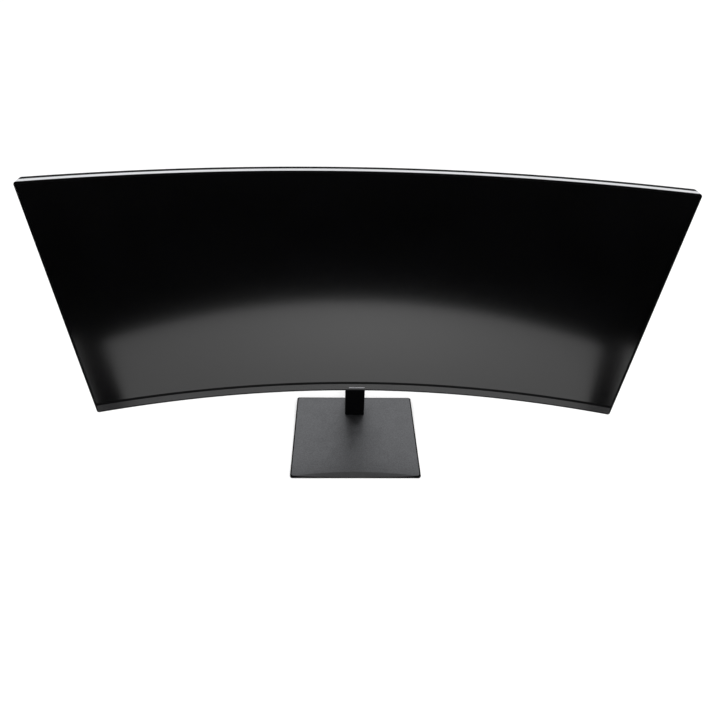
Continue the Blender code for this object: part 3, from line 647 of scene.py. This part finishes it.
def make_mount():
    flat = curve_frame(0)
    front, back = 35.8, 38.8
    plate = prism(rounded(-52, 52, 122, 234, 3), "y", front, back)
    hooks = [box(s - 7, s + 7, front, 37.0, 230, 240) for s in (-27, 27)]
    latch_slot = box(-12.9, 12.9, 30, 50, 110, 150)
    plate = soften(cut(weld(plate, *hooks), latch_slot), 0.35)
    add("quick_release_plate", plate, "powder_coat", "head", ["release_plate"], flat)

    ear_in, ear_out, ear_r = 13.5, 16.5, 9.0
    foot_d = back + FIT
    base = box(-22, 22, foot_d, foot_d + 2.5, HINGE_H - 20, HINGE_H + 20)
    tip = [(HINGE_D + ear_r * math.cos(a), HINGE_H + ear_r * math.sin(a)) for a in HALF_TURN]
    side = [(foot_d + 1, HINGE_H - 14), *tip, (foot_d + 1, HINGE_H + 14)]
    ears = [prism(side, "x", a, b) for a, b in ((-ear_out, -ear_in), (ear_in, ear_out))]
    knuckle = cut(weld(base, *ears), rod("x", HINGE_D, HINGE_H, PIN_HOLE_R, -30, 30))
    add("hinge_knuckle", soften(knuckle, 0.3), "steel", "head", ["tilt_knuckle"], flat)

    shroud = hollow(
        rounded(-26, 26, HINGE_H - 25, HINGE_H + 25, 4),
        rounded(-24, 24, HINGE_H - 23, HINGE_H + 23, 2.5),
        "y",
        foot_d,
        HINGE_D + 8,
    )
    add("hinge_collar", soften(shroud, 0.5), "cover_plastic", "head", ["hinge_shroud"], flat)

    slide = box(-12.5, 12.5, front, back, 118, 140)
    tongue = box(-10, 10, front, 37.2, 115, 125)
    trimmed = cut(slide, box(-20, 20, 37.2, 45, 110, 122.3))
    add("latch_slide", soften(weld(trimmed, tongue), 0.25), "steel", "latch", ["release_latch"], flat)
    pad_levels = ((0, back + FIT), (0, 42.6), (0.5, 44.0), (1.0, 44.9), (2.0, 45.5))
    pad = [
        [(x, d, z) for x, z in rounded(-10.5 + i, 10.5 - i, 124 + i, 138 - i, 3 - i * 0.4)]
        for i, d in pad_levels
    ]
    ribs = [box(-6.5, 6.5, 45.05, 46, z - 0.5, z + 0.5) for z in (128.0, 130.0, 132.0, 134.0)]
    pad = soften(cut(loft(pad), *ribs), 0.15, angle=40)
    add("release_pad", pad, "dark_plastic", "latch", ["release_button"], flat)

    middle = (front + back) / 2
    turns, coil_r, low, high, wire = 6.0, 1.05, 140.3, 149.7, 0.25
    path = []
    for k in range(121):
        t = k / 120
        a = 2 * math.pi * turns * t
        rise = low + wire + (high - low - 2 * wire) * t
        path.append((coil_r * math.cos(a), middle + coil_r * math.sin(a), rise))
    spring = add("latch_coil", tube(path, wire, 8), "spring_steel", "head", ["latch_spring"], flat)
    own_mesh(spring)


def make_knob():
    profile = (
        (5.2, 17.0),
        (5.6, 17.3),
        (6.2, 19.0),
        (6.2, 24.6),
        (6.0, 25.5),
        (5.4, 26.1),
        (4.6, 26.2),
        (3.0, 25.7),
        (0.8, 25.5),
    )
    cap = lathe(profile, "y", 0, 0)
    grip_at, grip_r = 6.6, 0.75  # grooves round the rim
    turns = [math.radians(20 * k) for k in range(18)]
    grips = [
        rod("y", grip_at * math.cos(a), grip_at * math.sin(a), grip_r, 19.5, 27, 12) for a in turns
    ]
    stem_hole = rod("y", 0, 0, 2.6, 10, 23.4, 24)
    cap = cut(cap, stem_hole, *grips)
    add("menu_knob", cap, "rubber", "knob_press", ["joystick_cap"], curve_frame(KNOB_S, 0, KNOB_H))


def make_arm():
    half, rise, web = 10.0, 9.0, 64.0
    nose = [(HINGE_Y - rise * math.cos(a), HINGE_Z + rise * math.sin(a)) for a in HALF_TURN]
    lug = prism([*nose, (61, HINGE_Z + rise), (61, HINGE_Z - rise)], "x", -half, half)
    heel = box(-14, 14, 58, web - FIT, HINGE_Z - 25, HINGE_Z + rise)
    arm = cut(weld(lug, heel), rod("x", HINGE_Y, HINGE_Z, PIN_HOLE_R, -30, 30))
    add("lift_arm", soften(arm, 0.4), "column_black", "lift", ["head_arm"])

    pin_profile = (
        (6.2, -21),
        (7.0, -20.4),
        (7.0, -17.0),
        (4.0, -16.8),
        (4.0, 16.8),
        (7.0, 17.0),
        (7.0, 20.4),
        (6.2, 21),
    )
    add("tilt_pin", lathe(pin_profile, "x", HINGE_Y, HINGE_Z), "steel", "lift", ["hinge_pin"])
    for node, low in (("friction_washer_left", -13.2), ("friction_washer_right", 10.3)):
        rings = circle(HINGE_Y, HINGE_Z, 8.0), circle(HINGE_Y, HINGE_Z, PIN_HOLE_R)
        ring = hollow(*rings, "x", low, low + 2.9)
        add(node.replace("friction", "tilt"), soften(ring, 0.2), "spring_steel", "lift", [node])


def section(inset):
    x = COLUMN_X - inset
    return rounded(-x, x, COLUMN_FRONT + inset, COLUMN_BACK - inset, COLUMN_R - 0.6 * inset)


def column_wall(*profile):
    """Wall all round the column, from the (inset, z) points that its cut edge runs through."""
    bm = bmesh.new()
    loops = [[bm.verts.new((x, y, z)) for x, y in section(inset)] for inset, z in profile]
    for low, high in zip(loops, [*loops[1:], loops[0]]):
        for k in range(len(low)):
            n = (k + 1) % len(low)
            bm.faces.new((low[k], low[n], high[n], high[k]))
    bmesh.ops.recalc_face_normals(bm, faces=bm.faces)
    return bm


def make_column():
    wall, seam, spigot_top = COLUMN_WALL, COLUMN_SEAM, sleeve_high[2]
    upper = column_wall((0, seam + FIT), (0, COLUMN_TOP), (wall, COLUMN_TOP), (wall, seam + FIT))
    slot = prism(
        rounded(-SLOT_HALF, SLOT_HALF, SLOT_LOW, SLOT_HIGH, 1.0), "y", COLUMN_FRONT - 5, COLUMN_FRONT + 5
    )
    (gx0, gy0, gz0), (gx1, gy1, gz1) = span("cable_grommet")
    hole = prism(rounded(gx0 - 0.4, gx1 + 0.4, gz0 - 0.4, gz1 + 0.4, 8), "y", 40, 110)
    add("column_tube", soften(cut(upper, slot), 0.3), "column_black", "stand", ["column_shell"])

    thick, collar_low = wall + 2, seam - 5
    outside = (0, COLUMN_LOW), (0, seam), (wall + FIT, seam), (wall + FIT, spigot_top)
    inside = (thick, spigot_top), (thick, collar_low), (wall, collar_low), (wall, COLUMN_LOW)
    lower = column_wall(*outside, *inside)
    add("cable_sleeve", soften(cut(lower, hole), 0.3), "column_black", "stand", ["column_sleeve"])

    top = cap_high[2]
    lid_levels = (
        (0.2, COLUMN_TOP + FIT),
        (0, COLUMN_TOP + 0.6),
        (0, top - 1.2),
        (0.35, top - 0.4),
        (1.1, top),
    )
    lid = loft([[(x, y, z) for x, y in section(inset)] for inset, z in lid_levels])
    plug_low, plug_high = cap_low[2], COLUMN_TOP + 2
    plug_in = wall + FIT
    plug = column_wall((plug_in, plug_low), (plug_in, plug_high), (thick, plug_high), (thick, plug_low))
    add("column_lid", weld(lid, plug), "cover_plastic", "stand", ["column_cap"])

    ring = hollow(
        rounded(gx0, gx1, gz0, gz1, 7.7),
        rounded(gx0 + 1.4, gx1 - 1.4, gz0 + 1.4, gz1 - 1.4, 6.4),
        "y",
        gy0,
        gy1,
    )
    add("cable_ring", soften(ring, 0.4), "cover_plastic", "stand", ["cable_grommet"])


def facet_cutter():
    centre_y = -BASE_Y + FACET_REACH - FACET_R
    before, after = 18, 6  # how far the cone runs past the facet's edge, either way
    near, far, high = FACET_R - before, FACET_R + after, BASE_TOP + after
    low_z, high_z = BASE_TOP - before * FACET_SLOPE, BASE_TOP + after * FACET_SLOPE
    profile = [(near, low_z), (far, high_z), (far, high), (near, high)]
    turns = [math.radians(0.25 * k) for k in range(-44, 45)]
    return loft([[(r * math.sin(a), centre_y + r * math.cos(a), z) for r, z in profile] for a in turns])


def make_base():
    edge = ((2.3, 0.0), (1.2, 0.2), (0.4, 0.55), (0.0, 1.1))
    profile = [(i, BASE_LOW + z) for i, z in edge] + [(i, BASE_TOP - z) for i, z in reversed(edge)]
    plate = loft(
        [
            [(a, b, z) for a, b in rounded(-BASE_X + i, BASE_X - i, -BASE_Y + i, BASE_Y - i, 4.0)]
            for i, z in profile
        ]
    )
    feet = [span(f"foot_pad_{k}") for k in range(1, 5)]
    pockets = [rod("z", (a[0] + b[0]) / 2, (a[1] + b[1]) / 2, 8.4, 0, 2.5) for a, b in feet]
    recess = rod("z", 0, SCREW_Y, 19.0, 0, 4.4, 64)
    hole = rod("z", 0, SCREW_Y, 3.6, 0, 10, 32)
    plate = cut(plate, facet_cutter(), recess, hole, *pockets)
    flat_up, facet_up = 0.9995, 0.994  # least upward normal of the flat top, and of the crescent facet
    # painted shade: the crescent facet gets a darker copy of the powder coat
    for face in plate.faces:
        up = face.normal.z
        # painted shade: the plate's sides, rounded edges and underside get a near-black copy of its coat
        face.material_index = 0 if up > flat_up else 2 if up > facet_up else 1
    crease = math.radians(1.5)
    for line in plate.edges:
        if len(line.link_faces) == 2:
            turn = line.calc_face_angle(0)
            coated = max(f.normal.z for f in line.link_faces) > facet_up
            line.smooth = not ((coated and turn > crease) or turn > math.radians(50))
    add("foot_plate", plate, ["powder_coat", "plate_sides_painted_shade", "facet_painted_shade"], "stand", ["base_plate"])

    for k, (a, b) in enumerate(feet):
        cx, cy = (a[0] + b[0]) / 2, (a[1] + b[1]) / 2
        pad = lathe(((7.0, 0.0), (7.6, 0.25), (8.0, 0.8), (8.0, 2.2)), "z", cx, cy)
        add(f"rubber_foot_{k + 1}", pad, "rubber", "stand", [f"foot_pad_{k + 1}"])


def make_captive_screw():
    head = lathe(((5.9, 1.5), (6.7, 1.7), (7.0, 2.1), (7.0, 3.6), (6.6, 4.0)), "z", 0, SCREW_Y)
    shank = rod("z", 0, SCREW_Y, 2.7, 3.0, 20, 32)
    coin = box(-5.2, 5.2, SCREW_Y - 0.7, SCREW_Y + 0.7, 1.0, 2.4)
    pivots = [rod("x", SCREW_Y, SCREW_PIVOT_Z, 1.0, a, b, 16) for a, b in ((-9, -5), (5, 9))]
    screw = soften(cut(weld(head, shank), coin, *pivots), 0.15, angle=40)
    add("base_screw", screw, "steel", "captive_screw", ["captive_screw"])

    wire, half, reach = 0.8, 8.2, 13.7
    stub, shoulder, corner = 2.6, 0.8, 2.2  # length of the pivot stub, and the two bend radii
    path = [(half - stub, SCREW_Y, SCREW_PIVOT_Z), (half - shoulder, SCREW_Y, SCREW_PIVOT_Z)]
    bends = (
        (half - shoulder, SCREW_Y - shoulder, shoulder, 90),
        (half - corner, SCREW_Y - reach + corner, corner, 0),
    )
    for cx, cy, radius, start in bends:
        for k in range(7):
            a = math.radians(start - 90 * k / 6)
            path.append((cx + radius * math.cos(a), cy + radius * math.sin(a), SCREW_PIVOT_Z))
    path += [(-x, y, z) for x, y, z in reversed(path)]
    add("base_screw_ring", tube(path, wire, 12), "spring_steel", "screw_ring", ["screw_ring"])


make_front()
make_rim()
make_rear()
make_mount()
make_knob()
make_arm()
make_column()
make_base()
make_captive_screw()


# ---------------------------------------------------------------- CAD nodes that stay

KEPT = {
    "vesa_bracket": ("steel", 0.3),
    "optical_films": ("white_film", 0),
    "light_guide": ("acrylic", 0),
    "led_bar": ("circuit_board", 0),
    "reflector_sheet": ("white_film", 0),
    "back_chassis": ("steel", 0),
    "main_board": ("circuit_board", 0),
    "led_driver_board": ("circuit_board", 0),
    "joystick_board": ("circuit_board", 0),
    "joystick_gimbal": ("dark_plastic", 0.2),
    "joystick_stem": ("acetal", 0.2),
    "io_plate": ("steel", 0.15),
    "dc_jack": ("dark_plastic", 0.2),
    "audio_jack": ("dark_plastic", 0.2),
    "hdmi_port_1": ("steel", 0.12),
    "hdmi_port_2": ("steel", 0.12),
    "displayport_1": ("steel", 0.12),
    "lift_carriage": ("steel", 0.3),
    "glide_block_bottom": ("acetal", 0.3),
    "glide_block_top": ("acetal", 0.3),
    "drum_axle": ("steel", 0.2),
    "spring_drum": ("acetal", 0.2),
    "spring_coil": ("spring_steel", 0.2),
    "column_foot": ("steel", 0.3),
    "lift_rail": ("steel", 0.3),
    "spring_anchor": ("steel", 0.3),
    "spring_strip": ("spring_steel", 0),
}
for node, (finish, width) in KEPT.items():
    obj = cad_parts[node]
    obj.data.materials.clear()
    obj.data.materials.append(FINISHES[finish])
    if width:
        join = obj.modifiers.new("join", "WELD")
        join.merge_threshold = 0.02 * MM
        round_off = obj.modifiers.new("round_off", "BEVEL")
        round_off.width = width * MM
        round_off.segments = 2
        round_off.limit_method = "ANGLE"
        round_off.angle_limit = math.radians(35)
        round_off.use_clamp_overlap = True
        even = obj.modifiers.new("even", "WEIGHTED_NORMAL")
        even.keep_sharp = False


# ---------------------------------------------------------------- studio

TABLE_LEFT, TABLE_RIGHT, TABLE_BACK = -0.362, 0.3795, 0.32  # the white table that the screen mirrors
TABLE_FRONT, TABLE_SKEW, TABLE_BOW = -0.501, -0.018, 0.23  # front edge: y = front + skew x + bow x squared
SIDE_LEFT, SIDE_RIGHT, SIDE_FRONT = -0.402, 0.414, -0.50  # white surfaces beyond a gap at each end of it
SIDE_REACH = 0.035
FLOOR_HALF = 150.0
FLOOR_GLOW = 0.08
SKY_STRENGTH = 1.3
# grey of the sky from straight down (0) to straight up (1)
SKY = ((0.30, 0.004), (0.36, 0.022), (0.484, 0.03), (0.492, 0.95), (0.83, 0.95), (0.90, 0.80), (1.0, 0.66))


def floor_material(name, colour):
    look = Look(name, 0.65, specular=0.2)
    look.colours(look.noise(220.0, 2.0), scaled(colour, 0.985), colour)
    look.shader.inputs["Emission Color"].default_value = (1, 1, 1, 1)
    look.shader.inputs["Emission Strength"].default_value = FLOOR_GLOW
    return look.material


def slab(name, outline, finish, mirrored):
    """Flat stage piece on the ground. Only a mirrored one shows in the object's glossy surfaces."""
    mesh = bpy.data.meshes.new(name)
    mesh.from_pydata([(x, y, 0) for x, y in outline], [], [tuple(range(len(outline)))])
    mesh.materials.append(finish)
    obj = bpy.data.objects.new(name, mesh)
    bpy.context.scene.collection.objects.link(obj)
    obj.visible_glossy = mirrored


def rectangle(x0, x1, y0, y1):
    return ((x0, y0), (x1, y0), (x1, y1), (x0, y1))


floor_finish = floor_material("studio_floor", (0.90, 0.90, 0.90))
steps = 24
edge_x = [TABLE_LEFT + (TABLE_RIGHT - TABLE_LEFT) * k / steps for k in range(steps + 1)]
front_edge = [(x, TABLE_FRONT + TABLE_SKEW * x + TABLE_BOW * x * x) for x in edge_x]
slab("table", [*front_edge, (TABLE_RIGHT, TABLE_BACK), (TABLE_LEFT, TABLE_BACK)], floor_finish, True)
slab(
    "floor_front",
    [(TABLE_LEFT, -FLOOR_HALF), (TABLE_RIGHT, -FLOOR_HALF), *reversed(front_edge)],
    floor_finish,
    False,
)
slab("floor_back", rectangle(TABLE_LEFT, TABLE_RIGHT, TABLE_BACK, FLOOR_HALF), floor_finish, False)
for side, inner, outer in (("left", TABLE_LEFT, SIDE_LEFT), ("right", TABLE_RIGHT, SIDE_RIGHT)):
    far = outer + math.copysign(SIDE_REACH, outer)
    end = math.copysign(FLOOR_HALF, outer)
    slab(f"gap_{side}", rectangle(inner, outer, -FLOOR_HALF, FLOOR_HALF), floor_finish, False)
    slab(f"side_{side}", rectangle(outer, far, SIDE_FRONT, TABLE_BACK), floor_finish, True)
    slab(f"side_front_{side}", rectangle(outer, far, -FLOOR_HALF, SIDE_FRONT), floor_finish, False)
    slab(f"side_back_{side}", rectangle(outer, far, TABLE_BACK, FLOOR_HALF), floor_finish, False)
    slab(f"floor_{side}", rectangle(far, end, -FLOOR_HALF, FLOOR_HALF), floor_finish, False)

world = bpy.data.worlds.new("studio")
bpy.context.scene.world = world
world.use_nodes = True
nodes, links = world.node_tree.nodes, world.node_tree.links
sky = nodes["Background"]
sky.inputs["Strength"].default_value = SKY_STRENGTH
where = nodes.new("ShaderNodeTexCoord")
parts = nodes.new("ShaderNodeSeparateXYZ")
horizon = nodes.new("ShaderNodeValToRGB")
lift = nodes.new("ShaderNodeMapRange")
lift.inputs["From Min"].default_value = -1.0
links.new(where.outputs["Generated"], parts.inputs["Vector"])
links.new(parts.outputs["Z"], lift.inputs["Value"])
links.new(lift.outputs["Result"], horizon.inputs["Fac"])
links.new(horizon.outputs["Color"], sky.inputs["Color"])
ramp = horizon.color_ramp
for k, (at, value) in enumerate(SKY):
    stop = ramp.elements[k] if k < 2 else ramp.elements.new(at)
    stop.position, stop.color = at, (value, value, value, 1)

LAMPS = (
    # name, place, size, watts
    ("overhead", (0.0, -0.2, 2.6), 3.0, 10.0),
    ("table_glow", (0.03, -0.43, 0.38), 0.25, 2.2),
)
for name, place, size, watts in LAMPS:
    lamp_data = bpy.data.lights.new(name, "AREA")
    lamp_data.size = size
    lamp_data.energy = watts
    lamp = bpy.data.objects.new(name, lamp_data)
    lamp.location = place
    lamp.visible_glossy = False
    lamp.visible_camera = False
    bpy.context.scene.collection.objects.link(lamp)


# ---------------------------------------------------------------- camera

EYE = Vector((-0.02653, -0.70801, 0.74248))
YAW, PITCH, ROLL = math.radians(-2.455), math.radians(38.435), math.radians(1.969)
LENS_MM = 27.715

ahead = Vector((-math.sin(YAW) * math.cos(PITCH), math.cos(YAW) * math.cos(PITCH), -math.sin(PITCH)))
right = Vector((math.cos(YAW), math.sin(YAW), 0))
up = right.cross(ahead)
right, up = (
    right * math.cos(ROLL) + up * math.sin(ROLL),
    up * math.cos(ROLL) - right * math.sin(ROLL),
)
camera_data = bpy.data.cameras.new("camera")
camera_data.lens = LENS_MM
camera_data.clip_start, camera_data.clip_end = 0.02, 500.0
camera = bpy.data.objects.new("camera", camera_data)
camera.matrix_world = Matrix(
    (
        (right.x, up.x, -ahead.x, EYE.x),
        (right.y, up.y, -ahead.y, EYE.y),
        (right.z, up.z, -ahead.z, EYE.z),
        (0, 0, 0, 1),
    )
)
bpy.context.scene.collection.objects.link(camera)
bpy.context.scene.camera = camera
bpy.context.scene.view_settings.view_transform = "Standard"
